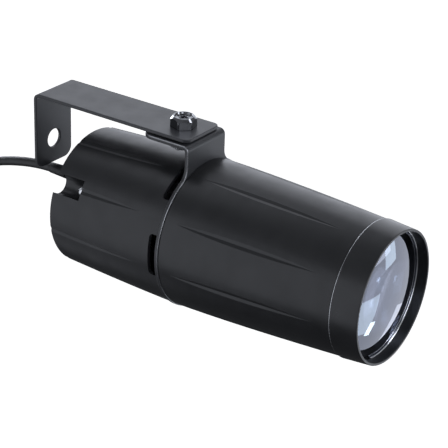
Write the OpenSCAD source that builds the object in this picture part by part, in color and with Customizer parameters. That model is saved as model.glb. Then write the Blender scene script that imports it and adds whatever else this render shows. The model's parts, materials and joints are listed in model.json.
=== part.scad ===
// Small spotlight lamp on a bent strap bracket, with its mains lead wound up for storage.
// The origin is the centre of the bracket's mounting hole. The beam leaves along +X and +Z is up.
// All sizes are in millimetres. The lamp is modelled about its own axis, with x = 0 on the
// front face of the mount plate, and lamp_frame() puts it in place under the bracket.

/* [Bracket] */
// Width of the strap
strap_w = 30.5; // [26:0.5:34]
// Thickness of the strap
strap_t = 2; // [1.5:0.25:2.5]
// Outside radius of the strap's bend
bend_r = 4; // [3:0.5:5]
// From the mounting hole's centre up to the strap's top face
hole_to_top = 31.9; // [28:0.1:40]
// From the mounting hole's centre down to the end of the leg
hole_to_end = 14.8; // [10:0.1:15]
// Diameter of the mounting hole
hole_d = 11; // [9:0.5:12]
// From the middle of the leg to the pivot bolt's axis
leg_to_pivot = 92.9; // [88:0.1:110]
// From the pivot bolt's axis to the strap's front end
pivot_to_front = 13.8; // [12:0.1:16]

/* [Pivot] */
// Diameter of the pivot bolt
bolt_d = 8; // [6:1:8]
// Width across the flats of the bolt's head and of the nut
hex_af = 13; // [10:1:13]
// Height of the bolt's head
bolt_head_h = 6.4; // [4:0.1:7]
// Height of the nut
nut_h = 6.5; // [5:0.1:6.5]
// Thickness of the friction washer
washer_t = 0.6; // [0.5:0.1:1]
// Radial clearance of the bolt in its holes
pivot_gap = 0.05; // [0.02:0.01:0.1]

/* [Housing] */
// Outside radius of both shells where they meet
seam_r = 42.3; // [42:0.1:43]
// Length of the front shell's outer skin
front_len = 104.2; // [95:0.1:110]
// How much the front shell's radius drops over its length
front_drop = 4.6; // [4:0.1:5]
// From the mount plate's front face to the rear edge
rear_len = 77.4; // [74:0.1:85]
// How much the rear shell's radius drops over its length
rear_drop = 2.5; // [2:0.1:3]
// Wall thickness of the shells
wall = 2.2; // [1.8:0.1:2.6]
// Depth of the design creases
crease_depth = 0.5; // [0.3:0.1:0.9]
// Angle that one ventilation slot spans
vent_angle = 33; // [20:1:36]
// Width of the ventilation slots
vent_w = 4.8; // [3:0.2:5.4]

/* [Mount plate] */
// Thickness of the plate
plate_t = 2.2; // [1.8:0.1:2.6]
// Radius of the plate's rim
rim_r = 42.8; // [42.5:0.1:43.5]
// Fillet between the rim and the tongue
tongue_fillet = 8; // [5:0.5:10]
// From the lamp's axis to the tongue's top face
tongue_top = 56.3; // [56:0.1:60]
// Width of the tongue
tongue_w = 34.5; // [30:0.5:36]
// From the plate's front face back to the tongue's rear end
tongue_len = 32.5; // [28:0.5:34]

/* [Optics] */
// Outside radius of the lens ring at its front rim
ring_front_r = 37; // [36.8:0.1:37.4]
// Outside radius of the lens ring at its rear edge
ring_rear_r = 38.2; // [38:0.1:38.6]
// Length of the lens ring
ring_len = 16.1; // [15:0.1:18]
// Bore radius of the lens ring in front of the lens
ring_bore_r = 35.5; // [35.4:0.1:35.8]
// Radius of the front lens
lens_r = 35.2; // [34.9:0.1:35.3]
// Radius of the lens's front surface
lens_front_radius = 100; // [84:1:110]
// Radius of the lens's rear surface
lens_rear_radius = 196; // [150:1:240]

/* [Mains lead] */
// Diameter of the lead
lead_d = 5.6; // [5.2:0.1:5.8]

/* [Hidden] */

fine = 180;
medium = 64;
slack = 1;

// The lamp's axis and the mount plate's front face, from the mounting hole
pivot_back = 15.8;
lamp_x = leg_to_pivot + pivot_back;
axis_drop = tongue_top + washer_t + strap_t - hole_to_top;
strap_corner_r = 4;
leg_corner_r = 6;
bolt_r = bolt_d / 2;
hex_turn = 42.6;
pivot_bore_r = bolt_r + pivot_gap;
strap_top = tongue_top + washer_t + strap_t;
tongue_under = tongue_top - plate_t;
tongue_bend_r = 3.2;

// Front shell's nose, which the lens ring slides over
nose_r = 36.5;
nose_len = 4.2;
nose_bore_r = 34.6;
edge_cut = 0.4;
vent_count = 6;
vent_turn = -1;
vent_corner_r = 2;

// Long screws that clamp rear shell, plate and front shell together
screw_angles = [30, 150, 270];
screw_ring_r = 36.1;
screw_r = 1.5;
screw_thread_r = 1.35;
screw_hole_r = 1.75;
screw_boss_r = 3.9;
boss_web = 4;
boss_reach = 40.6;
boss_setback = 0.3;
screw_floor_x = -58.5;
front_boss_len = 12;
pocket_r = 5.7;
pocket_wall = 1.8;
screw_head_r = 3.3;
screw_head_h = 3.2;

// Creases in both shells, between nine equal panels. Three of them run into the screw pockets.
// A crease's flanks rise to crease_reach over a half width of crease_half
crease_reach = 3;
crease_half = 13;
crease_angles = [for (i = [0:8]) 30 + 40 * i];
free_crease_angles = [for (a = crease_angles) if (len(search(a, screw_angles)) == 0) a];

// Lens ring and what it holds, along the lamp's axis
ring_x = front_len + 0.2;
ring_front_x = ring_x + ring_len;
ring_socket_r = nose_r + 0.1;
seat_x = ring_x + 4.3;
seat_t = 1.3;
seat_r = 33;
gasket_t = 0.9;
lens_edge_x = seat_x + seat_t + gasket_t;
lens_edge_t = 2.7;
wire_r = 0.55;
wire_ring_r = 35.25;
wire_lift = 0.06;
wire_x = lens_edge_x + lens_edge_t + wire_lift + wire_r;
wire_gap_from = -123;
wire_gap_to = -105;

// Heat sink behind the mount plate, LED board on its front face
plate_opening_r = 24;
sink_r = 31.5;
sink_base_t = 5;
fin_count = 8;
fin_pitch = 6.5;
fin_t = 1.6;
fin_len = 20;
sink_screw_ring_r = 28;
sink_screw_angles = [90, 210, 330];
small_screw_r = 1.5;
small_thread_r = 1.35;
board_screw_r = 1.2;
board_thread_r = 1.05;
board_hole_ring_r = 8.2;
holder_len = 14;
small_head_r = 2.8;
small_head_h = 1.8;
pad_t = 0.4;
board_t = 1.6;
board_af = 20;
sink_face_x = -plate_t;
sink_back_x = sink_face_x - sink_base_t;
board_face_x = sink_face_x + pad_t + board_t;
wire_hole_z = -14;

// Driver board on two standoffs behind the heat sink
standoff_y = 27.2;
standoff_len = 28;
stud_len = 3.5;
driver_r = 31;
driver_t = 1.6;
driver_front_x = sink_back_x - standoff_len;
driver_back_x = driver_front_x - driver_t;

// Mains lead. gland_z is its height from the mounting hole, in the row frame
gland_z = -19.4;
gland_local_z = gland_z + axis_drop;
rear_face_x = -rear_len;
rear_x = lamp_x - rear_len;
relief_len = 33;
relief_neck_r = 5;
relief_inner_t = 1.6;
lead_r = lead_d / 2;
lead_sides = 10;

// The lead's free run: out of the strain relief, drooping, then down into the hank
lead_route = [
  [-10, 0, -19.9], [-19, 0, -21.1], [-27, 0, -22.7], [-35, 0, -24.7], [-43, 0, -27.2],
  [-50, 0, -30.2], [-57, 0, -34.2], [-63, 0, -39], [-68.2, 0, -44.9], [-72.4, 0, -51.8],
  [-75.3, 0, -59.6], [-77, -0.4, -68], [-77.7, -1.2, -77], [-77.8, -2, -84.5]
];

// The hank: turns side by side along X, pinched by the tie at the middle of their runs
hank_front_x = -75;
hank_layers = 4;
hank_mid_z = -138;
hank_fold_r = 16.8;
hank_half_run = 42;
hank_t = hank_layers * lead_d;
waist_y = lead_d;
tie_h = 9;
tie_t = 1.4;
tail_t = lead_d;

// Two-pin plug beside the hank
plug_x = -104.6;
plug_top_z = -160;
tail_route = [
  [-100.2, 0, -140], [-100.4, 0, -145], [-101.2, 0, -149.5], [-102.7, 0, -153.5], [-104, 0, -157],
  [-104.6, 0, -161]
];
plug_neck_len = 12;
plug_len = 24;
plug_t = 13.7;
plug_w = 35.3;
pin_spacing = 18.6;
pin_r = 2;
pin_len = 19;

// Outside radius of a shell at a distance d from the seam
function skin_r(d, len, drop) = seam_r - drop * pow(max(d, 0) / len, 1.5);
function front_r(d) = skin_r(d, front_len, front_drop);
function rear_r(d) = skin_r(d, rear_len, rear_drop);

// Puts a part that is modelled about the lamp's axis in its place under the bracket
module lamp_frame() {
  translate([lamp_x, 0, -axis_drop]) children();
}

// A solid of revolution about the lamp's axis from [radius, x] points
module turned(points) {
  rotate([0, 90, 0]) rotate_extrude($fn = fine) polygon(points);
}

// Extrudes a flat [y, z] shape along X from x0 to x1
module along_x(x0, x1) {
  translate([x0, 0, 0]) rotate([90, 0, 90]) linear_extrude(x1 - x0) children();
}

// A round bar along X
module bar_x(x0, x1, r, facets = medium) {
  translate([x0, 0, 0]) rotate([0, 90, 0]) cylinder(h = x1 - x0, r = r, $fn = facets);
}

// Repeats a part at angles about the lamp's axis, at a radius along Y before it is turned
module around(angles, radius) {
  for (a = angles) rotate([a, 0, 0]) translate([0, radius, 0]) children();
}

// A pan-head screw along X with its head's underside at x = 0 and its shank towards +X
module pan_screw(shank_r, shank_len, head_r, head_h) {
  difference() {
    union() {
      bar_x(-head_h * 0.55, 0, head_r);
      translate([-head_h * 0.55, 0, 0]) rotate([0, -90, 0])
        cylinder(h = head_h * 0.45, r1 = head_r, r2 = head_r * 0.7, $fn = medium);
      bar_x(0, shank_len, shank_r);
    }
    for (turn = [0, 90]) rotate([turn, 0, 0])
      translate([-head_h - slack, -head_r * 0.55, -0.3])
        cube([head_h * 0.6 + slack, head_r * 1.1, 0.6]);
  }
}

// A tube swept along a route: one ring per point, square to the route there
function unit(v) = v / norm(v);
function heading(p, i) = unit(p[min(i + 1, len(p) - 1)] - p[max(i - 1, 0)]);
function sideways(t, up) = unit(cross(up, t));
function ring_points(c, t, up, r, sides) = let(s = sideways(t, up), n = cross(t, s))
  [for (k = [0:sides - 1]) c + r * (cos(360 * k / sides) * s + sin(360 * k / sides) * n)];
module swept_tube(route, r, sides, up) {
  last = len(route) - 1;
  rings = [for (i = [0:last]) ring_points(route[i], heading(route, i), up, r, sides)];
  points = [for (ring = rings) for (p = ring) p];
  walls = [for (i = [0:last - 1]) for (k = [0:sides - 1])
    let(a = i * sides + k, b = i * sides + (k + 1) % sides) [a, b, b + sides, a + sides]];
  ends = [[for (k = [sides - 1:-1:0]) k], [for (k = [0:sides - 1]) last * sides + k]];
  polyhedron(points = points, faces = concat(walls, ends), convexity = 6);
}

module bracket() {
  color([0.16, 0.17, 0.18]) difference() {
    union() {
      intersection() {
        along_x(-strap_t / 2, strap_t / 2) leg_outline();
        translate([-strap_t, -strap_w, -hole_to_end - slack])
          cube([2 * strap_t, 2 * strap_w, hole_to_end + slack + hole_to_top - bend_r]);
      }
      strap_bend();
      translate([0, 0, hole_to_top - strap_t]) linear_extrude(strap_t) strap_outline();
    }
    bar_x(-strap_t, strap_t, hole_d / 2);
    translate([leg_to_pivot, 0, 0]) cylinder(h = 2 * hole_to_top, r = pivot_bore_r, $fn = medium);
  }
}

module leg_outline() {
  half = strap_w / 2;
  for (side = [-1, 1])
    translate([side * (half - leg_corner_r), leg_corner_r - hole_to_end]) circle(leg_corner_r, $fn = medium);
  translate([-half, leg_corner_r - hole_to_end]) square([strap_w, hole_to_end + hole_to_top]);
  translate([leg_corner_r - half, -hole_to_end]) square([strap_w - 2 * leg_corner_r, leg_corner_r]);
}

module strap_bend() {
  centre_x = bend_r - strap_t / 2;
  centre_z = hole_to_top - bend_r;
  intersection() {
    translate([centre_x, strap_w / 2, centre_z]) rotate([90, 0, 0]) difference() {
      cylinder(h = strap_w, r = bend_r, $fn = medium);
      translate([0, 0, -slack]) cylinder(h = strap_w + 2 * slack, r = bend_r - strap_t, $fn = medium);
    }
    translate([centre_x - 2 * bend_r, -strap_w, centre_z]) cube([2 * bend_r, 2 * strap_w, 2 * bend_r]);
  }
}

module strap_outline() {
  half = strap_w / 2;
  start = bend_r - strap_t / 2;
  front = leg_to_pivot + pivot_to_front;
  for (side = [-1, 1])
    translate([front - strap_corner_r, side * (half - strap_corner_r)]) circle(strap_corner_r, $fn = medium);
  translate([start, -half]) square([front - strap_corner_r - start, strap_w]);
  translate([start, strap_corner_r - half]) square([front - start, strap_w - 2 * strap_corner_r]);
}

// Hexagonal prism of a width across flats, standing on z = 0
module hex_prism(af, h) {
  rotate([0, 0, hex_turn]) cylinder(h = h, r = af / sqrt(3), $fn = 6);
}

module pivot_bolt() {
  under_nut = 1.5;
  shank = strap_t + washer_t + plate_t + nut_h + under_nut;
  corner_r = hex_af / sqrt(3);
  recess_l = 6.4;
  recess_w = 1.5;
  recess_h = 2.6;
  color([0.75, 0.76, 0.78]) lamp_frame() translate([-pivot_back, 0, strap_top]) difference() {
    union() {
      translate([0, 0, -shank]) cylinder(h = shank, r = bolt_r, $fn = medium);
      intersection() {
        hex_prism(hex_af, bolt_head_h);
        union() {
          cylinder(h = bolt_head_h - 1, r = corner_r + slack, $fn = medium);
          translate([0, 0, bolt_head_h - 1]) cylinder(h = 1, r1 = corner_r + 0.1, r2 = corner_r - 1.6, $fn = medium);
        }
      }
    }
    for (turn = [0, 90]) rotate([0, 0, turn])
      translate([-recess_l / 2, -recess_w / 2, bolt_head_h - recess_h])
        cube([recess_l, recess_w, recess_h + slack]);
    translate([0, 0, bolt_head_h - 0.5]) cylinder(h = 0.5 + slack, r = corner_r - 2.6, $fn = medium);
  }
}

module friction_washer() {
  outer_r = 9;
  color([0.08, 0.08, 0.08]) lamp_frame() translate([-pivot_back, 0, tongue_top]) difference() {
    cylinder(h = washer_t, r = outer_r, $fn = medium);
    translate([0, 0, -slack]) cylinder(h = washer_t + 2 * slack, r = pivot_bore_r, $fn = medium);
  }
}

module pivot_nut() {
  color([0.7, 0.71, 0.73]) lamp_frame() translate([-pivot_back, 0, tongue_under - nut_h]) difference() {
    hex_prism(hex_af, nut_h);
    translate([0, 0, -slack]) cylinder(h = nut_h + 2 * slack, r = pivot_bore_r, $fn = medium);
  }
}

module mount_plate() {
  color([0.14, 0.15, 0.16]) lamp_frame() difference() {
    union() {
      along_x(-plate_t, 0) plate_outline();
      tongue_bend();
      translate([0, 0, tongue_under]) linear_extrude(plate_t) tongue_outline();
    }
    bar_x(-2 * plate_t, slack, plate_opening_r, fine);
    around(screw_angles, screw_ring_r) bar_x(-2 * plate_t, slack, screw_hole_r);
    around(sink_screw_angles, sink_screw_ring_r) bar_x(-2 * plate_t, slack, small_screw_r + 0.2);
    translate([-pivot_back, 0, tongue_under - slack])
      cylinder(h = plate_t + 2 * slack, r = pivot_bore_r, $fn = medium);
  }
}

module plate_outline() {
  half = tongue_w / 2;
  fillet_y = half + tongue_fillet;
  fillet_z = sqrt(pow(rim_r + tongue_fillet, 2) - pow(fillet_y, 2));
  touch = rim_r / (rim_r + tongue_fillet);
  circle(rim_r, $fn = fine);
  translate([-half, 0]) square([tongue_w, tongue_top - tongue_bend_r]);
  for (turn = [0, 1]) mirror([turn, 0]) difference() {
    polygon([[half - 1, fillet_z], [fillet_y, fillet_z], [fillet_y * touch, fillet_z * touch], [half - 1, rim_r / 2]]);
    translate([fillet_y, fillet_z]) circle(tongue_fillet, $fn = medium);
  }
}

module tongue_bend() {
  centre_z = tongue_top - tongue_bend_r;
  intersection() {
    translate([-tongue_bend_r, tongue_w / 2, centre_z]) rotate([90, 0, 0]) difference() {
      cylinder(h = tongue_w, r = tongue_bend_r, $fn = medium);
      translate([0, 0, -slack])
        cylinder(h = tongue_w + 2 * slack, r = tongue_bend_r - plate_t, $fn = medium);
    }
    translate([-tongue_bend_r, -tongue_w, centre_z]) cube([2 * tongue_bend_r, 2 * tongue_w, 2 * tongue_bend_r]);
  }
}

module tongue_outline() {
  half = tongue_w / 2;
  corner = 8;
  flat_len = tongue_len - tongue_bend_r;
  for (side = [-1, 1])
    translate([corner - tongue_len, side * (half - corner)]) circle(corner, $fn = medium);
  translate([corner - tongue_len, -half]) square([flat_len - corner, tongue_w]);
  translate([-tongue_len, corner - half]) square([flat_len, tongue_w - 2 * corner]);
}

// One crease: a long shallow notch whose floor is a straight line between two [x, radius] points
module crease(from, to) {
  run = to - from;
  slope = atan2(run[1], run[0]);
  translate([from[0], from[1], 0]) rotate([0, 0, slope]) rotate([90, 0, 90])
    linear_extrude(norm(run)) polygon([[0, 0], [crease_reach, -crease_half], [crease_reach, crease_half]]);
}

module creases(angles, from, to) {
  for (a = angles) rotate([a, 0, 0]) crease(from, to);
}

// A boss for one long screw, with a web that joins it to the wall
module screw_boss(from, to) {
  along_x(from, to) {
    circle(screw_boss_r, $fn = medium);
    translate([0, -boss_web / 2]) square([boss_reach - screw_ring_r, boss_web]);
  }
}

module front_shell() {
  steps = 12;
  reach = [for (i = [0:steps]) edge_cut + (front_len - edge_cut) * i / steps];
  outer = [for (d = reach) [front_r(d), d]];
  inner = [for (i = [steps:-1:0]) [front_r(reach[i]) - wall, i == 0 ? 0 : reach[i]]];
  nose = [[nose_r, front_len], [nose_r, front_len + nose_len], [nose_bore_r, front_len + nose_len]];
  crease_from = 7;
  crease_to = 95;
  color([0.12, 0.12, 0.13]) lamp_frame() difference() {
    union() {
      turned(concat([[front_r(0) - edge_cut, 0]], outer, nose, inner));
      around(screw_angles, screw_ring_r) screw_boss(0, front_boss_len);
    }
    around(screw_angles, screw_ring_r) bar_x(-slack, front_boss_len - 1.5, screw_thread_r);
    creases(crease_angles, [crease_from, front_r(crease_from)], [crease_to, front_r(crease_to)]);
  }
}

// Profile of the rear shell's skin, drawn in by inset
function rear_skin(inset) =
  let (steps = 10, run = rear_len - inset - plate_t)
  [for (i = [0:steps]) let (d = plate_t + run * i / steps) [rear_r(d) - inset, -d]];

function backwards(list) = [for (i = [len(list) - 1:-1:0]) list[i]];

module rear_shell() {
  pocket_front_x = screw_floor_x + pocket_wall;
  crease_to = 17;
  crease_end = [-crease_to, rear_r(crease_to)];
  cap = [[0, -rear_len], [0, wall - rear_len]];
  color([0.12, 0.12, 0.13]) lamp_frame() difference() {
    union() {
      turned(concat(rear_skin(0), cap, backwards(rear_skin(wall))));
      around(screw_angles, screw_ring_r) screw_boss(pocket_front_x - slack, -plate_t - boss_setback);
      intersection() {
        turned(concat([[0, -plate_t]], rear_skin(0), [[0, -rear_len]]));
        around(screw_angles, screw_ring_r) bar_x(-rear_len, pocket_front_x, pocket_r + pocket_wall);
      }
    }
    around(screw_angles, screw_ring_r) {
      along_x(-rear_len - slack, screw_floor_x) {
        circle(pocket_r, $fn = medium);
        translate([0, -pocket_r]) square(2 * pocket_r);
      }
      bar_x(screw_floor_x - slack, 0, screw_hole_r);
    }
    vent_slots();
    translate([0, 0, gland_local_z]) bar_x(rear_face_x - slack, rear_face_x + 2 * wall, relief_neck_r + 0.05);
    creases(free_crease_angles, [-rear_len - slack, rear_r(rear_len) - crease_depth], crease_end);
    creases(screw_angles, [screw_floor_x - slack, rear_r(-screw_floor_x) - crease_depth], crease_end);
  }
}

// Ventilation slots in the rear shell's front rim, with rounded rear corners
module vent_slots() {
  from_r = 37;
  to_r = 44;
  half = seam_r * sin(vent_angle / 2);
  rear = -plate_t - vent_w;
  inner = half - vent_corner_r;
  for (i = [0:vent_count - 1]) rotate([i * 360 / vent_count + vent_turn, 0, 0])
    translate([0, from_r, 0]) rotate([-90, 0, 0]) linear_extrude(to_r - from_r) {
      translate([rear + vent_corner_r, -half]) square([slack - rear - vent_corner_r, 2 * half]);
      translate([rear, -inner]) square([vent_w, 2 * inner]);
      for (side = [-1, 1]) translate([rear + vent_corner_r, side * inner]) circle(vent_corner_r, $fn = medium);
    }
}

module housing_screws() {
  color([0.75, 0.76, 0.78]) lamp_frame()
    around(screw_angles, screw_ring_r) translate([screw_floor_x, 0, 0])
      pan_screw(screw_r, front_boss_len - 2 - screw_floor_x, screw_head_r, screw_head_h);
}

module lens_ring() {
  socket_end = seat_x;
  rim_cut = 0.3;
  groove_r = wire_ring_r + wire_r + 0.05;
  groove_rear = wire_x - wire_r - 0.02;
  groove_front = wire_x + wire_r + 0.02;
  color([0.12, 0.12, 0.13]) lamp_frame() turned([
    [ring_rear_r - rim_cut, ring_x], [ring_rear_r, ring_x + rim_cut],
    [ring_front_r, ring_front_x - rim_cut], [ring_front_r - rim_cut, ring_front_x],
    [ring_bore_r + rim_cut, ring_front_x], [ring_bore_r, ring_front_x - rim_cut],
    [ring_bore_r, groove_front], [groove_r, groove_front],
    [groove_r, groove_rear], [ring_bore_r, groove_rear],
    [ring_bore_r, seat_x + seat_t], [seat_r, seat_x + seat_t],
    [seat_r, socket_end], [ring_socket_r, socket_end], [ring_socket_r, ring_x]
  ]);
}

module lens_gasket() {
  color([0.05, 0.05, 0.05]) lamp_frame() turned([
    [seat_r, seat_x + seat_t], [ring_bore_r - 0.2, seat_x + seat_t],
    [ring_bore_r - 0.2, lens_edge_x], [seat_r, lens_edge_x]
  ]);
}

// Depth of a spherical surface of radius R at a distance r from its middle
function sagitta(R, r) = R - sqrt(R * R - r * r);

module front_lens() {
  steps = 14;
  rear_rim_r = seat_r - 0.3;
  front_x = lens_edge_x + lens_edge_t;
  front = [for (i = [0:steps]) let(r = lens_r * i / steps)
    [r, front_x + sagitta(lens_front_radius, lens_r) - sagitta(lens_front_radius, r)]];
  rear = [for (i = [steps:-1:0]) let(r = rear_rim_r * i / steps)
    [r, lens_edge_x - sagitta(lens_rear_radius, rear_rim_r) + sagitta(lens_rear_radius, r)]];
  color([0.72, 0.76, 0.9, 0.5]) lamp_frame() turned(concat(front, [[lens_r, lens_edge_x]], rear));
}

module retaining_ring() {
  mouth = wire_gap_to - wire_gap_from;
  far = 2 * wire_ring_r;
  color([0.8, 0.81, 0.83]) lamp_frame() difference() {
    translate([wire_x, 0, 0]) rotate([0, 90, 0]) rotate_extrude($fn = fine)
      translate([wire_ring_r, 0]) circle(wire_r, $fn = 24);
    rotate([wire_gap_from, 0, 0]) along_x(wire_x - slack, wire_x + slack)
      polygon([[0, 0], [far, 0], [far * cos(mouth), far * sin(mouth)]]);
  }
}

module heat_sink() {
  hole_r = 2.4;
  color([0.62, 0.63, 0.65]) lamp_frame() difference() {
    union() {
      bar_x(sink_back_x, sink_face_x, sink_r, fine);
      intersection() {
        bar_x(sink_back_x - fin_len, sink_back_x + slack, sink_r, fine);
        for (i = [0:fin_count - 1])
          translate([sink_back_x - fin_len, (i - (fin_count - 1) / 2) * fin_pitch - fin_t / 2, -sink_r])
            cube([fin_len + slack, fin_t, 2 * sink_r]);
      }
    }
    around(sink_screw_angles, sink_screw_ring_r) bar_x(sink_back_x + 1, slack, small_thread_r);
    for (side = [-1, 1]) translate([0, side * standoff_y, 0])
      bar_x(sink_back_x - slack, sink_back_x + stud_len, small_thread_r);
    around([0, 180], board_hole_ring_r) bar_x(sink_face_x - 4.5, slack, board_thread_r);
    translate([0, 0, wire_hole_z]) bar_x(sink_back_x - slack, slack, hole_r);
  }
}

module sink_screws() {
  color([0.75, 0.76, 0.78]) lamp_frame() around(sink_screw_angles, sink_screw_ring_r)
    rotate([0, 180, 0]) pan_screw(small_screw_r, plate_t + sink_base_t - 1.6, small_head_r, small_head_h);
}

module thermal_pad() {
  color([0.85, 0.85, 0.82]) lamp_frame() difference() {
    along_x(sink_face_x, sink_face_x + pad_t) circle(r = board_af / sqrt(3) - 0.6, $fn = 6);
    around([0, 180], board_hole_ring_r) bar_x(sink_face_x - slack, slack, 1.3);
  }
}

module led_board() {
  color([0.92, 0.92, 0.9]) lamp_frame() difference() {
    along_x(sink_face_x + pad_t, board_face_x) circle(r = board_af / sqrt(3), $fn = 6);
    around([0, 180], board_hole_ring_r) bar_x(sink_face_x - slack, slack, 1.3);
  }
}

module led_emitter() {
  base = 5;
  base_t = 0.8;
  dome_r = 1.9;
  color([0.95, 0.85, 0.3]) lamp_frame() translate([board_face_x, 0, 0]) {
    translate([0, -base / 2, -base / 2]) cube([base_t, base, base]);
    intersection() {
      translate([base_t - 0.2, 0, 0]) sphere(dome_r, $fn = 48);
      bar_x(base_t - 0.2, 2 * dome_r, dome_r + slack);
    }
  }
}

module board_screws() {
  color([0.75, 0.76, 0.78]) lamp_frame() around([0, 180], board_hole_ring_r)
    translate([board_face_x, 0, 0]) rotate([0, 180, 0]) pan_screw(board_screw_r, 6, 2, 1.4);
}

// Clear moulded lens that gathers the light of the LED
module collimator() {
  color([0.85, 0.88, 0.95, 0.5]) lamp_frame() translate([board_face_x, 0, 0]) turned([
    [0, 5.5], [2.4, 5.2], [2.7, 3.2], [3.6, 3.2], [6.2, 6.2], [9, 11.4], [9.8, 12.6], [9.8, 13.6], [0, 13.6]
  ]);
}

module collimator_holder() {
  color([0.06, 0.06, 0.06]) lamp_frame() translate([board_face_x, 0, 0]) difference() {
    turned([[4.2, 0], [5.6, 0], [11.2, 10], [11.2, holder_len], [9.9, holder_len], [9.9, 12.4], [9.6, 11.6],
      [6.8, 6.4], [4.2, 3]]);
    around([0, 180], board_hole_ring_r) bar_x(-slack, 9, 2.3);
  }
}

module standoffs() {
  af = 5.5;
  color([0.8, 0.7, 0.4]) lamp_frame() for (side = [-1, 1]) translate([0, side * standoff_y, 0]) difference() {
    union() {
      along_x(driver_front_x, sink_back_x) circle(r = af / sqrt(3), $fn = 6);
      bar_x(sink_back_x - slack, sink_back_x + stud_len, small_screw_r);
    }
    bar_x(driver_front_x - slack, driver_front_x + 7, small_thread_r);
  }
}

module driver_board() {
  color([0.1, 0.4, 0.2]) lamp_frame() difference() {
    bar_x(driver_back_x, driver_front_x, driver_r, fine);
    for (side = [-1, 1]) translate([0, side * standoff_y, 0]) bar_x(driver_back_x - slack, 0, screw_r + 0.15);
    translate([0, 0, wire_hole_z]) bar_x(driver_back_x - slack, 0, 2.4);
  }
}

module driver_screws() {
  color([0.75, 0.76, 0.78]) lamp_frame() for (side = [-1, 1])
    translate([driver_back_x, side * standoff_y, 0]) pan_screw(screw_r, 7, small_head_r, small_head_h);
}

// Parts that stand on the driver board's rear face, facing the rear wall
module on_driver(y, z) {
  lamp_frame() translate([driver_back_x, y, z]) children();
}

module transformer() {
  core = [15, 17, 20];
  bobbin = [11, 20.5, 13];
  color([0.85, 0.75, 0.2]) on_driver(-10, 6) union() {
    translate([-core[0], -core[1] / 2, -core[2] / 2]) cube(core);
    translate([-bobbin[0] - 2, -bobbin[1] / 2, -bobbin[2] / 2]) cube(bobbin);
  }
}

module capacitors() {
  color([0.15, 0.15, 0.3]) {
    on_driver(10.5, 9) bar_x(-17, 0, 5);
    on_driver(10.5, -2) bar_x(-12, 0, 4);
  }
}

module terminal_block() {
  size = [10, 15, 8];
  color([0.9, 0.9, 0.88]) on_driver(0, -22) difference() {
    translate([-size[0], -size[1] / 2, -size[2] / 2]) cube(size);
    for (side = [-1, 1]) translate([0, side * 3.6, 0]) bar_x(-size[0] - slack, -4, 1);
  }
}

module fuse() {
  color([0.8, 0.75, 0.6]) on_driver(-16, -12) rotate([0, 0, 90]) translate([0, 2.6, 0])
    bar_x(-5, 5, 2.6);
}

// Thin insulated wires inside the housing
module thin_wire(points) {
  wire_sides = 8;
  swept_tube(points, 0.6, wire_sides, [0.1, 1, 0]);
}

module led_wires() {
  color([0.7, 0.1, 0.1]) lamp_frame() for (side = [-1, 1]) thin_wire([
    [driver_back_x - 0.5, side * 1, wire_hole_z], [driver_front_x + 8, side * 1, wire_hole_z],
    [sink_back_x - 8, side * 1, wire_hole_z], [sink_face_x - 1, side * 1, wire_hole_z],
    [sink_face_x + 0.8, side * 1, wire_hole_z + 0.3], [sink_face_x + 2.2, side * 1, wire_hole_z + 1.4],
    [board_face_x + 0.7, side * 1, wire_hole_z + 3], [board_face_x + 0.7, side * 1, wire_hole_z + 4.4]
  ]);
}

module supply_wires() {
  entry_x = rear_face_x + wall + relief_inner_t;
  block_x = driver_back_x - 6;
  z0 = gland_local_z;
  color([0.1, 0.25, 0.6]) lamp_frame() for (side = [-1, 1]) thin_wire([
    [entry_x, side * 1, z0], [entry_x + 4, side * 1.2, z0 - 1], [entry_x + 8, side * 1.8, z0 - 5],
    [entry_x + 10, side * 2.6, z0 - 12], [entry_x + 13, side * 3.3, z0 - 20],
    [block_x - 9, side * 3.6, -21], [block_x - 4, side * 3.6, -22], [block_x + 1, side * 3.6, -22]
  ]);
}

// Moulded bush that grips the lead in the rear wall, with a tapered sleeve outside
module strain_relief() {
  flange_r = 6.4;
  tip_r = 3.1;
  color([0.05, 0.05, 0.05]) lamp_frame() translate([rear_face_x, 0, gland_local_z]) turned([
    [0, wall + relief_inner_t], [5.6, wall + relief_inner_t], [5.6, wall], [relief_neck_r, wall], [relief_neck_r, 0],
    [flange_r, 0], [flange_r, -1.4], [4.8, -2.2], [4.3, -5], [tip_r, 1 - relief_len],
    [tip_r - 0.2, -relief_len], [0, -relief_len]
  ]);
}

module mains_lead() {
  start = [[rear_x - relief_len, 0, gland_z]];
  color([0.05, 0.05, 0.05]) {
    swept_tube(concat(start, lead_route), lead_r, lead_sides, [0, 1, 0]);
    swept_tube(tail_route, lead_r, lead_sides, [0, 1, 0]);
  }
}

// Outline of the hank in Y and Z, with its two round ends and its waist
module hank_outline() {
  fold_out_r = hank_fold_r + lead_r;
  half_tie = tie_h / 2;
  for (end = [-1, 1]) translate([0, end * hank_half_run]) circle(fold_out_r, $fn = medium);
  polygon([
    [waist_y, half_tie], [fold_out_r, hank_half_run], [-fold_out_r, hank_half_run], [-waist_y, half_tie],
    [-waist_y, -half_tie], [-fold_out_r, -hank_half_run], [fold_out_r, -hank_half_run], [waist_y, -half_tie]
  ]);
}

module lead_hank() {
  color([0.05, 0.05, 0.05]) translate([0, 0, hank_mid_z])
    along_x(hank_front_x - hank_t, hank_front_x) hank_outline();
}

module lead_tie() {
  depth = hank_t + tail_t;
  color([0.1, 0.1, 0.11]) translate([0, 0, hank_mid_z - tie_h / 2]) linear_extrude(tie_h) difference() {
    translate([hank_front_x - depth - tie_t, -waist_y - tie_t]) square([depth + 2 * tie_t, 2 * (waist_y + tie_t)]);
    translate([hank_front_x - hank_t, -waist_y]) square([hank_t, 2 * waist_y]);
  }
}

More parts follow.
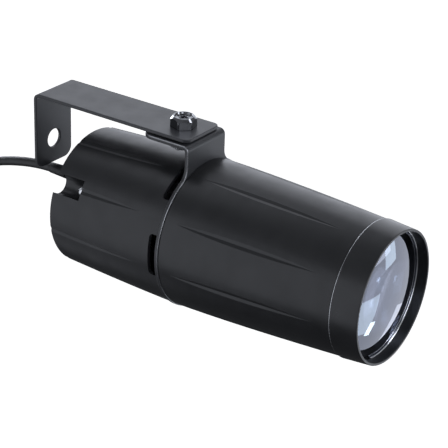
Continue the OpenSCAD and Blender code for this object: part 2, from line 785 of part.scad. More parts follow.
module plug_body() {
  shoulder = plug_w / 2;
  face_z = plug_top_z - plug_neck_len - plug_len;
  color([0.05, 0.05, 0.05]) translate([plug_x, 0, 0]) union() {
    intersection() {
      translate([-plug_t / 2, 0, face_z]) rotate([90, 0, 90]) linear_extrude(plug_t)
        polygon([[-shoulder, 0], [shoulder, 0], [shoulder, plug_len * 0.35], [7, plug_len], [-7, plug_len],
          [-shoulder, plug_len * 0.35]]);
      translate([0, 0, face_z]) linear_extrude(plug_len) union() {
        for (side = [-1, 1]) translate([0, side * (shoulder - plug_t / 2)]) circle(plug_t / 2, $fn = medium);
        translate([-plug_t / 2, plug_t / 2 - shoulder]) square([plug_t, plug_w - plug_t]);
      }
    }
    translate([0, 0, face_z + plug_len - slack]) cylinder(h = plug_neck_len + slack, r1 = 5, r2 = 3.2, $fn = medium);
  }
}

module plug_pins() {
  face_z = plug_top_z - plug_neck_len - plug_len;
  color([0.8, 0.81, 0.82]) translate([plug_x, 0, face_z - pin_len]) for (side = [-1, 1])
    translate([0, side * pin_spacing / 2, 0]) cylinder(h = pin_len, r = pin_r, $fn = medium);
}

bracket();
pivot_bolt();
friction_washer();
pivot_nut();
mount_plate();
front_shell();
rear_shell();
housing_screws();
lens_ring();
lens_gasket();
front_lens();
retaining_ring();
heat_sink();
sink_screws();
thermal_pad();
led_board();
led_emitter();
board_screws();
collimator();
collimator_holder();
standoffs();
driver_board();
driver_screws();
transformer();
capacitors();
terminal_block();
fuse();
led_wires();
supply_wires();
strain_relief();
mains_lead();
lead_hank();
lead_tie();
plug_body();
plug_pins();
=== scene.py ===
# Small spotlight lamp on a strap bracket: the looks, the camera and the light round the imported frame.
import json
import math

import bmesh
import bpy
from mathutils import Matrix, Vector
from mathutils.geometry import tessellate_polygon


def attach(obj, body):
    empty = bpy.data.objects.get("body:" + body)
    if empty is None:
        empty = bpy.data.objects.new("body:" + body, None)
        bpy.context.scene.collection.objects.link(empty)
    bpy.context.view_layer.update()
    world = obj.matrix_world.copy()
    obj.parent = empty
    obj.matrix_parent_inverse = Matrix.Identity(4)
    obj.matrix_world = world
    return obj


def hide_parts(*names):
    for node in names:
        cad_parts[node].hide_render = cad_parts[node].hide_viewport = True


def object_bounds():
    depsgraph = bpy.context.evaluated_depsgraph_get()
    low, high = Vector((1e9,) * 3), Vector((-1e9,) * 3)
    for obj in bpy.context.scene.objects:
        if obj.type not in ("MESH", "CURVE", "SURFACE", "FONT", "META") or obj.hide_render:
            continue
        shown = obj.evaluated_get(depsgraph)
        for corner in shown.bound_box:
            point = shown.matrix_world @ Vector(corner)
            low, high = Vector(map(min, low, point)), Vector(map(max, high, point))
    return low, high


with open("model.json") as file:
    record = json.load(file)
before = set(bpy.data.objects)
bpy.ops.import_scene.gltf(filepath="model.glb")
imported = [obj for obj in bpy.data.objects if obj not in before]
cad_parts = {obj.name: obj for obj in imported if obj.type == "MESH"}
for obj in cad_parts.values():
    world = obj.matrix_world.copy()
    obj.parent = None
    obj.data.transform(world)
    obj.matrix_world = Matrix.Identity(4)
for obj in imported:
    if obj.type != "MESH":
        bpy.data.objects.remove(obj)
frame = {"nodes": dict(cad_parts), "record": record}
cad_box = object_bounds()
NODES = frame["nodes"]
scene = bpy.context.scene
MM = 0.001


def link(name, data):
    obj = bpy.data.objects.new(name, data)
    scene.collection.objects.link(obj)
    return obj


# ---------------------------------------------------------------- camera, solved from the photograph
SENSOR_MM, FOCAL_MM = 36, 131.05
CAMERA_AT = (0.5713, -0.6594, 0.3738)
CAMERA_TURN_DEG = (63.8336, -1.9058, 35.2222)

cam_data = bpy.data.cameras.new("camera")
cam_data.sensor_width = SENSOR_MM
cam_data.lens = FOCAL_MM
cam_data.clip_start = 0.01
cam = link("camera", cam_data)
cam.location = CAMERA_AT
cam.rotation_euler = [math.radians(a) for a in CAMERA_TURN_DEG]
scene.camera = cam


# ---------------------------------------------------------------- mains lead, in millimetres
LEAD_R = 2.8
LEAD_STEP = 2.5


def curve_tube(name, points, radius, resolution=8):
    """A round tube along points, as one open spline."""
    data = bpy.data.curves.new(name, "CURVE")
    data.dimensions = "3D"
    data.bevel_depth = 1.0
    data.bevel_resolution = resolution
    data.use_fill_caps = True
    spline = data.splines.new("POLY")
    spline.points.add(len(points) - 1)
    for p, co in zip(spline.points, points):
        p.co = (*co, 1)
        p.radius = radius
    spline.use_smooth = True
    return link(name, data)


def smooth_route(points, step):
    """Points every step or so along a Catmull-Rom curve through the given ones."""
    pts = [Vector(p) for p in points]
    pts = [2 * pts[0] - pts[1]] + pts + [2 * pts[-1] - pts[-2]]
    out = []
    for a, b, c, d in zip(pts, pts[1:], pts[2:], pts[3:]):
        n = max(1, round((c - b).length / step))
        for i in range(n):
            t = i / n
            out.append(0.5 * (2 * b + (c - a) * t + (2 * a - 5 * b + 4 * c - d) * t * t
                              + (3 * b - a - 3 * c + d) * t ** 3))
    return out + [pts[-2]]


# The route repeats part.scad's: out of the rear wall, down into the hank, and out of it to the plug.
RUN_IN = [
    (-1.7, 0, -19.4), (-10, 0, -19.9), (-19, 0, -21.1), (-27, 0, -22.7), (-35, 0, -24.7),
    (-43, 0, -27.2), (-50, 0, -30.2), (-57, 0, -34.2), (-63, 0, -39), (-68.2, 0, -44.9),
    (-72.4, 0, -51.8), (-75.3, 0, -59.6), (-77, -0.4, -68), (-77.7, -1.2, -77), (-77.8, -2, -84.5),
]
TAIL = [
    (-100.2, 0, -140), (-100.4, 0, -145), (-101.2, 0, -149.5), (-102.7, 0, -153.5),
    (-104, 0, -157), (-104.6, 0, -161),
]
HANK_X, HANK_PITCH, HANK_LAYERS = -77.8, 5.6, 4
HANK_MID, HANK_HALF, HANK_FOLD, HANK_WAIST = -138, 42, 16.8, 2.85
ENTRY_STEPS, RUN_STEPS, FOLD_STEPS = 8, 9, 12


def ease(t):
    """From 0 to 1 along half a cosine wave."""
    return (1 - math.cos(math.pi * t)) / 2


def hank_points():
    """The turns of the hank, from the lead's way in to its tail."""
    out = []

    def half_run(side, z0, z1, x0, x1, y_end=None):
        """Half of a straight run. y_end is where the lead leaves the hank at its waist."""
        for i in range(1, RUN_STEPS + 1):
            t = i / RUN_STEPS
            z = z0 + (z1 - z0) * t
            u = min(abs(z - HANK_MID) / HANK_HALF, 1)
            y = HANK_WAIST + (HANK_FOLD - HANK_WAIST) * ease(u)
            if y_end is not None:
                y = y_end + (y - y_end) * math.sin(math.pi * u / 2)
            out.append((x0 + (x1 - x0) * ease(t), side * y, z))

    def fold(up, x):
        """The half circle at an end; up is 1 at the top and -1 at the bottom."""
        for i in range(1, FOLD_STEPS + 1):
            a = math.pi * i / FOLD_STEPS
            reach = HANK_HALF + HANK_FOLD * math.sin(a)
            out.append((x, up * HANK_FOLD * math.cos(a), HANK_MID + up * reach))

    _, y_in, z_in = RUN_IN[-1]
    for i in range(1, ENTRY_STEPS):
        t = i / ENTRY_STEPS
        out.append((HANK_X, y_in - (HANK_WAIST + y_in) * t, z_in + (HANK_MID - z_in) * t))
    top, low = HANK_MID + HANK_HALF, HANK_MID - HANK_HALF
    for layer in range(HANK_LAYERS):
        x = HANK_X - HANK_PITCH * layer
        x_next = x - HANK_PITCH
        half_run(-1, HANK_MID, low, x, x)
        fold(-1, x)
        half_run(1, low, HANK_MID, x, x)
        half_run(1, HANK_MID, top, x, x_next)
        fold(1, x_next)
        half_run(-1, top, HANK_MID, x_next, x_next, 0.0 if layer == HANK_LAYERS - 1 else None)
    return out


lead_path = [p * MM for p in smooth_route(RUN_IN + hank_points() + TAIL, LEAD_STEP)]
lead = curve_tube("mains_cord", lead_path, LEAD_R * MM)
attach(lead, "lamp")
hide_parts("mains_lead", "lead_hank")


# ---------------------------------------------------------------- materials
class Shader:
    """A Principled material with a few procedural details."""

    def __init__(self, name, color, rough, metallic=0.0, **sockets):
        self.mat = bpy.data.materials.new(name)
        self.mat.use_nodes = True
        self.nodes = self.mat.node_tree.nodes
        self.links = self.mat.node_tree.links
        self.nodes.clear()
        out = self.nodes.new("ShaderNodeOutputMaterial")
        self.bsdf = self.nodes.new("ShaderNodeBsdfPrincipled")
        self.links.new(self.bsdf.outputs[0], out.inputs[0])
        self.color = color
        self.bsdf.inputs["Base Color"].default_value = (*color, 1)
        self.bsdf.inputs["Roughness"].default_value = rough
        self.bsdf.inputs["Metallic"].default_value = metallic
        for key, value in sockets.items():
            self.bsdf.inputs[key.replace("_", " ")].default_value = value
        self.where = self.nodes.new("ShaderNodeTexCoord").outputs["Object"]
        self.height = None

    def noise(self, scale, detail):
        """Noise with so many grains to a metre."""
        tex = self.nodes.new("ShaderNodeTexNoise")
        tex.inputs["Scale"].default_value = scale
        tex.inputs["Detail"].default_value = detail
        self.links.new(self.where, tex.inputs["Vector"])
        return tex.outputs["Fac"]

    def spread(self, value, low, high, a=0.3, b=0.7):
        """The value's range a to b mapped to low to high."""
        m = self.nodes.new("ShaderNodeMapRange")
        for key, v in (("From Min", a), ("From Max", b), ("To Min", low), ("To Max", high)):
            m.inputs[key].default_value = v
        self.links.new(value, m.inputs["Value"])
        return m.outputs[0]

    def vary_color(self, value, other):
        mix = self.nodes.new("ShaderNodeMix")
        mix.data_type = "RGBA"
        mix.inputs["A"].default_value = (*self.color, 1)
        mix.inputs["B"].default_value = (*other, 1)
        self.links.new(self.spread(value, 0, 1), mix.inputs["Factor"])
        self.links.new(mix.outputs["Result"], self.bsdf.inputs["Base Color"])

    def vary_rough(self, value, low, high):
        self.links.new(self.spread(value, low, high), self.bsdf.inputs["Roughness"])

    def bump(self, value, strength, distance):
        """Relief on top of what the material has already."""
        b = self.nodes.new("ShaderNodeBump")
        b.inputs["Strength"].default_value = strength
        b.inputs["Distance"].default_value = distance
        self.links.new(value, b.inputs["Height"])
        if self.height:
            self.links.new(self.height, b.inputs["Normal"])
        self.height = b.outputs[0]
        self.links.new(self.height, self.bsdf.inputs["Normal"])


def paint(name, color, other, rough, grain, depth):
    """Sprayed satin paint: orange peel, fine grain and slow changes of gloss."""
    s = Shader(name, color, rough)
    s.vary_color(s.noise(55, 4), other)
    s.vary_rough(s.noise(90, 5), rough - 0.04, rough + 0.05)
    s.bump(s.noise(grain, 2), 0.35, depth)
    s.bump(s.noise(grain * 4, 2), 0.2, depth * 0.4)
    return s.mat


def metal(name, color, rough):
    """Plated or turned metal: slight cloudiness and fine marks."""
    s = Shader(name, color, rough, 1.0)
    s.vary_color(s.noise(300, 4), tuple(0.86 * c for c in color))
    s.vary_rough(s.noise(900, 4), rough * 0.75, rough * 1.4)
    s.bump(s.noise(2200, 3), 0.4, 0.00001)
    return s.mat


def plastic(name, color, rough, grain=2500, depth=0.00001):
    """Moulded plastic, rubber or cloth, by the size and depth of its grain."""
    s = Shader(name, color, rough)
    s.vary_color(s.noise(120, 4), tuple(min(1, 1.25 * c + 0.002) for c in color))
    s.vary_rough(s.noise(200, 4), rough - 0.05, rough + 0.06)
    s.bump(s.noise(grain, 3), 0.5, depth)
    return s.mat


# Where the lens's rear face ends and its front face starts, as shares of its depth along X.
COAT_STEP = (0.39, 0.40)


def glass(name, color, rough, ior, coats=None):
    """Clear solid; coats are the mirror shares of its rear and front faces."""
    s = Shader(name, color, rough, Transmission_Weight=1.0, IOR=ior)
    s.vary_rough(s.noise(60, 3), rough, rough + 0.015)
    if coats:
        place = s.nodes.new("ShaderNodeTexCoord")
        axes = s.nodes.new("ShaderNodeSeparateXYZ")
        s.links.new(place.outputs["Generated"], axes.inputs[0])
        s.links.new(s.spread(axes.outputs["X"], *coats, *COAT_STEP), s.bsdf.inputs["Metallic"])
    return s.mat


# A material for each slot of the record, and at the end four that only pieces made here have.
MATS = {
    "bracket_paint": paint("bracket_satin", (0.026, 0.027, 0.030), (0.030, 0.031, 0.034), 0.36,
                           1500, 0.000012),
    "plate_paint": paint("plate_satin", (0.024, 0.025, 0.027), (0.028, 0.029, 0.031), 0.38,
                         1500, 0.000012),
    "housing_black": paint("housing_satin", (0.010, 0.0105, 0.0115), (0.013, 0.0135, 0.0145), 0.34,
                           1700, 0.00001),
    "ring_black": paint("ring_satin", (0.012, 0.0125, 0.0135), (0.015, 0.0155, 0.0165), 0.31,
                        1700, 0.00001),
    "bright_steel": metal("bright_steel", (0.25, 0.255, 0.265), 0.09),
    "zinc_steel": metal("zinc_steel", (0.62, 0.63, 0.65), 0.28),
    "black_fibre": plastic("black_fibre", (0.02, 0.02, 0.02), 0.7, 1200, 0.00004),
    "black_rubber": plastic("black_rubber", (0.014, 0.014, 0.015), 0.5),
    "lens_glass": glass("lens_glass", (0.41, 0.44, 0.53), 0.0, 1.52, (0.35, 0.42)),
    "cast_aluminium": metal("cast_aluminium", (0.66, 0.67, 0.69), 0.42),
    "pad_grey": plastic("pad_grey", (0.45, 0.47, 0.5), 0.7),
    "board_white": plastic("board_white", (0.8, 0.8, 0.78), 0.4),
    "phosphor": plastic("phosphor", (0.85, 0.68, 0.12), 0.5),
    "clear_acrylic": glass("clear_acrylic", (0.98, 0.98, 1.0), 0.02, 1.49),
    "black_plastic": plastic("black_plastic", (0.018, 0.018, 0.019), 0.45),
    "brass": metal("brass", (0.78, 0.6, 0.28), 0.25),
    "board_green": plastic("board_green", (0.03, 0.2, 0.08), 0.35),
    "transformer_tape": plastic("transformer_tape", (0.75, 0.58, 0.07), 0.3),
    "capacitor_sleeve": plastic("capacitor_sleeve", (0.04, 0.05, 0.18), 0.3),
    "terminal_white": plastic("terminal_white", (0.75, 0.75, 0.72), 0.45),
    "fuse_ceramic": plastic("fuse_ceramic", (0.72, 0.66, 0.5), 0.35),
    "wire_red": plastic("wire_red", (0.5, 0.03, 0.02), 0.4),
    "wire_blue": plastic("wire_blue", (0.02, 0.09, 0.42), 0.4),
    "lead_pvc": plastic("lead_pvc", (0.014, 0.014, 0.015), 0.4),
    "tie_fabric": plastic("tie_fabric", (0.02, 0.02, 0.022), 0.85, 900, 0.0001),
    "plug_plastic": plastic("plug_plastic", (0.013, 0.013, 0.014), 0.42),
    "pin_metal": metal("pin_metal", (0.8, 0.8, 0.78), 0.2),
    "screw_zinc": metal("screw_zinc", (0.78, 0.79, 0.8), 0.22),
    # Painted highlight: bright metal on the mount plate's outline edge, standing in for the highlight
    # line along it.
    "painted_highlight_edge": metal("painted_highlight_edge", (0.32, 0.325, 0.335), 0.3),
    # Painted highlight: bright metal on the lens ring's rear lip, standing in for the highlight line
    # along it.
    "painted_highlight_lip": metal("painted_highlight_lip", (0.62, 0.63, 0.65), 0.25),
    "wire_spring": metal("wire_spring", (0.88, 0.89, 0.91), 0.16),
}


def finish_node(obj, slot):
    """Give a CAD node its material."""
    for i in range(max(1, len(obj.data.materials))):
        if len(obj.data.materials) <= i:
            obj.data.materials.append(MATS[slot])
        else:
            obj.data.materials[i] = MATS[slot]


for part in frame["record"]["subparts"]:
    if part["node"] in NODES:
        finish_node(NODES[part["node"]], part["material_slot"])
lead.data.materials.append(MATS["lead_pvc"])


# ---------------------------------------------------------------- mesh helpers
def make_object(name, bm, smooth_angle, weighted=False):
    """A mesh object in metres from a bmesh in millimetres, smooth except at sharp edges."""
    bmesh.ops.recalc_face_normals(bm, faces=bm.faces)
    bmesh.ops.scale(bm, vec=(MM, MM, MM), verts=bm.verts)
    data = bpy.data.meshes.new(name)
    bm.to_mesh(data)
    bm.free()
    for face in data.polygons:
        face.use_smooth = True
    data.set_sharp_from_angle(angle=math.radians(smooth_angle))
    obj = link(name, data)
    if weighted:
        obj.modifiers.new("flat faces stay flat", "WEIGHTED_NORMAL").keep_sharp = True
    return obj


def piece(obj, body, slot, *nodes):
    """Finish a piece: its body, its material and the CAD nodes that it stands for."""
    obj.data.materials.append(MATS[slot])
    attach(obj, body)
    if nodes:
        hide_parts(*nodes)
    return obj


def arc_points(cx, cy, r, a0, a1, n):
    """An arc from one angle to another, in degrees."""
    return [(cx + r * math.cos(math.radians(a0 + (a1 - a0) * i / n)),
             cy + r * math.sin(math.radians(a0 + (a1 - a0) * i / n))) for i in range(n + 1)]


def circle_loop(cx, cy, r, n=48):
    """A hole's loop, clockwise."""
    return [(cx + r * math.cos(2 * math.pi * i / n), cy - r * math.sin(2 * math.pi * i / n))
            for i in range(n)]


def inset_loop(loop, d):
    """A closed loop moved to its left by d."""
    out = []
    n = len(loop)
    for i, (x, y) in enumerate(loop):
        (x0, y0), (x1, y1) = loop[i - 1], loop[(i + 1) % n]
        a = Vector((x - x0, y - y0)).normalized()
        b = Vector((x1 - x, y1 - y)).normalized()
        t = (a + b).normalized()
        k = d / max(0.5, t.dot(a))
        out.append((x - t.y * k, y + t.x * k))
    return out


def even(a, b, n):
    """From a to b in n equal steps, with both ends."""
    return [a + (b - a) * i / n for i in range(n + 1)]


EDGE_R, EDGE_STEPS, BEND_STEPS = 0.45, 3, 10


def metal_sheet(name, loops, thick, cuts, bend, highlight_band=False):
    """Sheet metal with rounded edges, cut out flat in (s, w) and then bent.

    bend maps (s, w, h) to a point, cuts are the places along s where it needs points, and the
    last flag puts the outline's rounding on one face in the object's second material, a painted
    highlight.
    """
    bm = bmesh.new()
    rows = [(EDGE_R * (1 - math.sin(a)), EDGE_R * (1 - math.cos(a)))
            for a in even(0, math.pi / 2, EDGE_STEPS)]
    rows += [(inset, thick - h) for inset, h in reversed(rows)]
    caps = ([], [])
    for loop in loops:
        rings = [[bm.verts.new((*q, h)) for q in inset_loop(loop, inset)] for inset, h in rows]
        for k, (low, high) in enumerate(zip(rings, rings[1:])):
            for i in range(len(loop)):
                j = (i + 1) % len(loop)
                face = bm.faces.new((low[i], low[j], high[j], high[i]))
                # Painted highlight: the outline's rounding on one face gets the bright second material.
                face.material_index = int(highlight_band and loop is loops[0] and k > EDGE_STEPS)
        caps[0].append(rings[0])
        caps[1].append(rings[-1])
    for rings in caps:
        flat = [v for ring in rings for v in ring]
        for tri in tessellate_polygon([[v.co for v in ring] for ring in rings]):
            bm.faces.new([flat[i] for i in tri])
    for s in cuts:
        bmesh.ops.bisect_plane(bm, geom=bm.verts[:] + bm.edges[:] + bm.faces[:], dist=1e-5,
                               plane_co=(s, 0, 0), plane_no=(1, 0, 0))
    for v in bm.verts:
        v.co = bend(*v.co)
    return make_object(name, bm, 40, weighted=True)


# ---------------------------------------------------------------- bracket and mount plate
# Sizes are part.scad's, in millimetres. X is forward, and the lamp's axis is at height AXIS_Z.
LAMP_X, AXIS_Z, PIVOT_X = 108.7, -27.0, 92.9
PIVOT_BORE_R = 4.05
STRAP_T, STRAP_HALF, STRAP_TOP, LEG_END, STRAP_FRONT = 2.0, 15.25, 31.9, -14.8, 106.7
BEND_R, LEG_CORNER_R, STRAP_CORNER_R, MOUNT_HOLE_R = 4.0, 6.0, 4.0, 5.5
LEG_RUN = STRAP_TOP - BEND_R - LEG_END
BEND_X = BEND_R - STRAP_T / 2
BEND_RUN = math.pi / 2 * BEND_X


def bracket_bend(s, w, h):
    """The flat strip's s runs up the leg, round the bend and along the top."""
    past = s - LEG_RUN
    if past <= 0:
        return (STRAP_T / 2 - h, w, LEG_END + s)
    if past < BEND_RUN:
        a = past / BEND_RUN * math.pi / 2
        r = BEND_R - STRAP_T + h
        return (BEND_X - r * math.cos(a), w, STRAP_TOP - BEND_R + r * math.sin(a))
    return (BEND_X + past - BEND_RUN, w, STRAP_TOP - STRAP_T + h)


def end_corners(end, half, r, steps):
    """The two rounded corners at the far end of a strip."""
    return (arc_points(end - r, -half + r, r, 270, 360, steps)
            + arc_points(end - r, half - r, r, 0, 90, steps))


def make_bracket():
    r = LEG_CORNER_R
    flat_end = LEG_RUN + BEND_RUN + STRAP_FRONT - BEND_X
    outline = (arc_points(r, -STRAP_HALF + r, r, 180, 270, 8)
               + end_corners(flat_end, STRAP_HALF, STRAP_CORNER_R, 8)
               + arc_points(r, STRAP_HALF - r, r, 90, 180, 8))
    pivot = LEG_RUN + BEND_RUN + PIVOT_X - BEND_X
    holes = [circle_loop(-LEG_END, 0, MOUNT_HOLE_R, 64), circle_loop(pivot, 0, PIVOT_BORE_R)]
    cuts = even(LEG_RUN, LEG_RUN + BEND_RUN, BEND_STEPS)
    obj = metal_sheet("bracket_strap", [outline] + holes, STRAP_T, cuts, bracket_bend)
    piece(obj, "bracket", "bracket_paint", "bracket")


PLATE_T, RIM_R, OPENING_R = 2.2, 42.8, 24
TONGUE_TOP, TONGUE_LEN, TONGUE_HALF, TONGUE_CORNER_R = 56.3, 32.5, 17.25, 8.0
FOLD_R, FILLET_R = 3.2, 8.0
PLATE_RUN = TONGUE_TOP - FOLD_R
FOLD_RUN = math.pi / 2 * (FOLD_R - PLATE_T / 2)
SCREW_RING_R, SCREW_ANGLES, SCREW_HOLE_R = 36.1, (30, 150, 270), 1.75
SINK_RING_R, SINK_ANGLES, SINK_HOLE_R = 28, (90, 210, 330), 1.7


def plate_bend(s, w, h):
    """The flat plate's s runs up from the lamp's axis, round the fold and back along the tongue."""
    past = s - PLATE_RUN
    if past <= 0:
        x, z = h - PLATE_T, s
    elif past < FOLD_RUN:
        a = past / FOLD_RUN * math.pi / 2
        r = FOLD_R - PLATE_T + h
        x, z = r * math.cos(a) - FOLD_R, PLATE_RUN + r * math.sin(a)
    else:
        x, z = FOLD_RUN - FOLD_R - past, TONGUE_TOP - PLATE_T + h
    return (LAMP_X + x, w, AXIS_Z + z)


def make_mount_plate():
    side = TONGUE_HALF + FILLET_R
    fillet_s = math.sqrt((RIM_R + FILLET_R) ** 2 - side ** 2)
    turn = math.degrees(math.atan2(side, fillet_s))
    rim = arc_points(0, 0, RIM_R, turn, 360 - turn, 150)
    left = arc_points(fillet_s, -side, FILLET_R, 180 - turn, 90, 12)
    right = arc_points(fillet_s, side, FILLET_R, 270, 180 + turn, 12)
    flat_end = PLATE_RUN + FOLD_RUN + TONGUE_LEN - FOLD_R
    tip = end_corners(flat_end, TONGUE_HALF, TONGUE_CORNER_R, 12)
    outline = rim[:-1] + left + tip + right[:-1]
    pivot = PLATE_RUN + FOLD_RUN + LAMP_X - PIVOT_X - FOLD_R
    holes = [circle_loop(0, 0, OPENING_R, 96), circle_loop(pivot, 0, PIVOT_BORE_R)]
    for ring_r, angles, hole_r in ((SCREW_RING_R, SCREW_ANGLES, SCREW_HOLE_R),
                                   (SINK_RING_R, SINK_ANGLES, SINK_HOLE_R)):
        for angle in map(math.radians, angles):
            holes.append(circle_loop(ring_r * math.sin(angle), ring_r * math.cos(angle), hole_r, 20))
    cuts = even(PLATE_RUN, PLATE_RUN + FOLD_RUN, BEND_STEPS)
    obj = metal_sheet("mount_plate_sheet", [outline] + holes, PLATE_T, cuts, plate_bend, highlight_band=True)
    piece(obj, "lamp", "plate_paint", "mount_plate")
    # The second material paints a highlight line along the plate's edge.
    obj.data.materials.append(MATS["painted_highlight_edge"])


# ---------------------------------------------------------------- turned and lofted pieces
SIDES, FINE_SIDES = 96, 160


def loft(bm, rings):
    """Skin closed rings one after another, with both ends capped."""
    rows = [[bm.verts.new(p) for p in ring] for ring in rings]
    n = len(rows[0])
    for low, high in zip(rows, rows[1:]):
        for i in range(n):
            j = (i + 1) % n
            bm.faces.new((low[i], low[j], high[j], high[i]))
    bm.faces.new(rows[0][::-1])
    bm.faces.new(rows[-1])


def ring_of(radius, height, n=SIDES):
    """A ring about Z. The radius and the height are numbers or functions of the angle."""
    out = []
    for i in range(n):
        a = 2 * math.pi * i / n
        r = radius(a) if callable(radius) else radius
        z = height(a, r) if callable(height) else height
        out.append((r * math.cos(a), r * math.sin(a), z))
    return out


def placed(rings, origin, axis="z"):
    """Rings moved to an origin. With axis "x" their own Z runs along -X."""
    ox, oy, oz = origin
    if axis == "z":
        return [[(x + ox, y + oy, z + oz) for x, y, z in ring] for ring in rings]
    return [[(ox - z, oy + y, oz + x) for x, y, z in ring] for ring in rings]


def smooth(t):
    """From 0 to 1 with soft ends."""
    t = min(1.0, max(0.0, t))
    return t * t * (3 - 2 * t)


def cross_depth(x, y, length, width, depth, wall):
    """Depth of a cross recess with sloping walls at a point."""
    inside = 0.0
    for u, v in ((abs(x), abs(y)), (abs(y), abs(x))):
        inside = max(inside, smooth((length / 2 - u) / wall) * smooth((width / 2 - v) / wall + 0.5))
    return depth * inside


def hexagon(across, turn, corner_r):
    """Radius of a hexagon with rounded corners, as a function of the angle."""
    flat = across / 2

    def radius(a):
        k = (a - turn) % (math.pi / 3) - math.pi / 6
        tangent = math.atan((flat - corner_r) * math.tan(math.pi / 6) / flat)
        if abs(k) < tangent:
            return flat / math.cos(k)
        centre = (flat - corner_r) / math.cos(math.pi / 6)
        off = math.pi / 6 - abs(k)
        return centre * math.cos(off) + math.sqrt(corner_r ** 2 - (centre * math.sin(off)) ** 2)

    return radius


HEX_AF, HEX_TURN, HEX_CORNER_R, HEAD_H = 13.0, math.radians(42.6), 0.7, 6.4
BOLT_R, BOLT_LEN, THREAD_PITCH, THREAD_DEPTH = 4.0, 12.8, 1.25, 0.5


def make_pivot_bolt():
    """Hexagon head with a chamfered rim, a dished top and a cross recess, on a threaded shank."""
    rim = hexagon(HEX_AF, HEX_TURN, HEX_CORNER_R)
    land, chamfer_slope, under_edge = 5.75, 1.15, 0.2
    dish_top, dish_low, dish, dish_lip = 5.1, 4.3, 1.1, 0.12
    crown_r, crown_width, crown = 3.6, 2.2, 0.35
    recess = {"length": 6.4, "width": 1.7, "depth": 2.0, "wall": 0.4}
    thread_start, thread_rings, thread_step, top_rings, top_step = 2.2, 84, 0.14, 36, 0.16

    def top(a, r):
        z = HEAD_H - max(0.0, r - land) * chamfer_slope
        z -= dish_lip * smooth((dish_top - r) / 0.25)
        z -= (dish - dish_lip) * smooth((dish_top - r) / (dish_top - dish_low))
        z += crown * smooth((crown_r - r) / crown_width)
        return z - cross_depth(r * math.cos(a), r * math.sin(a), **recess)

    def thread(z):
        def radius(a):
            turn = (z / THREAD_PITCH - a / (2 * math.pi)) % 1
            return BOLT_R - THREAD_DEPTH * abs(2 * turn - 1) * smooth(-(z + thread_start))
        return radius

    rings = [ring_of(3.0, -BOLT_LEN), ring_of(3.4, -BOLT_LEN)]
    for i in range(thread_rings):
        z = -BOLT_LEN + 0.5 + thread_step * i
        rings.append(ring_of(thread(z), z))
    rings += [ring_of(BOLT_R, -0.3), ring_of(BOLT_R, 0), ring_of(lambda a: rim(a) - 0.25, 0),
              ring_of(rim, under_edge)]
    for part in (0.3, 0.6, 1.0):
        rings.append(ring_of(rim, lambda a, r, k=part: under_edge + (top(a, r) - under_edge) * k))
    for part in (0.97, 0.7, 0.4, 0.15):
        rings.append(ring_of(lambda a, k=part: land + (rim(a) - land) * k, top))
    rings += [ring_of(land - top_step * i, top) for i in range(top_rings)]
    bm = bmesh.new()
    loft(bm, placed(rings, (PIVOT_X, 0, STRAP_TOP)))
    piece(make_object("pivot_bolt_head", bm, 38), "clamp_bolt", "bright_steel", "pivot_bolt")


def make_housing_screws():
    """The three long screws, with cross recessed heads on the floors of the rear shell's pockets."""
    head_r, head_h, shank_r, length, pocket_x = 3.3, 3.2, 1.5, 68.5, LAMP_X - 58.5
    dome_drop, dome_rings, dome_step, edge, tip_r, tip_len = 0.9, 30, 0.11, 0.2, 1.0, 1.2
    recess = {"length": 3.6, "width": 0.95, "depth": 1.5, "wall": 0.25}

    def dome(a, r):
        z = head_h - dome_drop * (r / head_r) ** 3
        return z - cross_depth(r * math.cos(a), r * math.sin(a), **recess)

    bm = bmesh.new()
    for angle in map(math.radians, SCREW_ANGLES):
        rings = [ring_of(tip_r, -length), ring_of(shank_r, tip_len - length), ring_of(shank_r, 0),
                 ring_of(head_r - edge, 0), ring_of(head_r, edge), ring_of(head_r, head_h - 1.15)]
        rings += [ring_of(head_r - dome_step * i, dome) for i in range(1, dome_rings)]
        y, z = SCREW_RING_R * math.cos(angle), AXIS_Z + SCREW_RING_R * math.sin(angle)
        loft(bm, placed(rings, (pocket_x, y, z), "x"))
    piece(make_object("housing_screw_set", bm, 38), "lamp", "screw_zinc", "housing_screws")


GROOVE_X = 114.21


def make_retaining_wire():
    """The spring wire in the lens ring's groove, open at the bottom."""
    wire_r, ring_r, gap_from, gap_to = 0.55, 35.25, -105, 237
    points = [Vector((LAMP_X + GROOVE_X, ring_r * math.cos(a), AXIS_Z + ring_r * math.sin(a))) * MM
              for a in map(math.radians, even(gap_from, gap_to, 180))]
    obj = curve_tube("retaining_wire", points, wire_r * MM, 5)
    piece(obj, "lamp", "wire_spring", "retaining_ring")


def make_strain_relief():
    """The moulded bush, with rings cut into its sleeve so that it bends with the lead."""
    sleeve_len, wall_x, exit_z = 33.0, LAMP_X - 77.4, -19.4
    first_slot, slot_pitch, slots = 6.4, 3.2, 5
    flange = [(0.4, 3.8), (5.4, 3.8), (5.6, 3.6), (5.6, 2.25), (5.0, 2.2), (5.0, 0), (6.2, 0),
              (6.4, -0.2), (6.4, -1.2), (6.2, -1.4), (4.9, -2.0), (4.4, -3.4), (4.25, -5)]
    slot = [(0, 0), (0.12, 0.15), (0.62, 0.35), (0.62, 1.1), (0.14, 1.3), (0.05, 1.5)]
    end = [(3.12, 0.8 - sleeve_len), (2.95, -sleeve_len), (2.6, -sleeve_len)]
    profile = flange
    for i in range(slots):
        z = first_slot + slot_pitch * i
        r = 4.3 - 1.2 * (z - 5) / (sleeve_len - 6)
        profile = profile + [(r - depth, -z - past) for depth, past in slot]
    bm = bmesh.new()
    loft(bm, placed([ring_of(r, -z, 48) for r, z in profile + end], (wall_x, 0, exit_z), "x"))
    return piece(make_object("strain_relief_boot", bm, 30), "lamp", "black_rubber", "strain_relief")


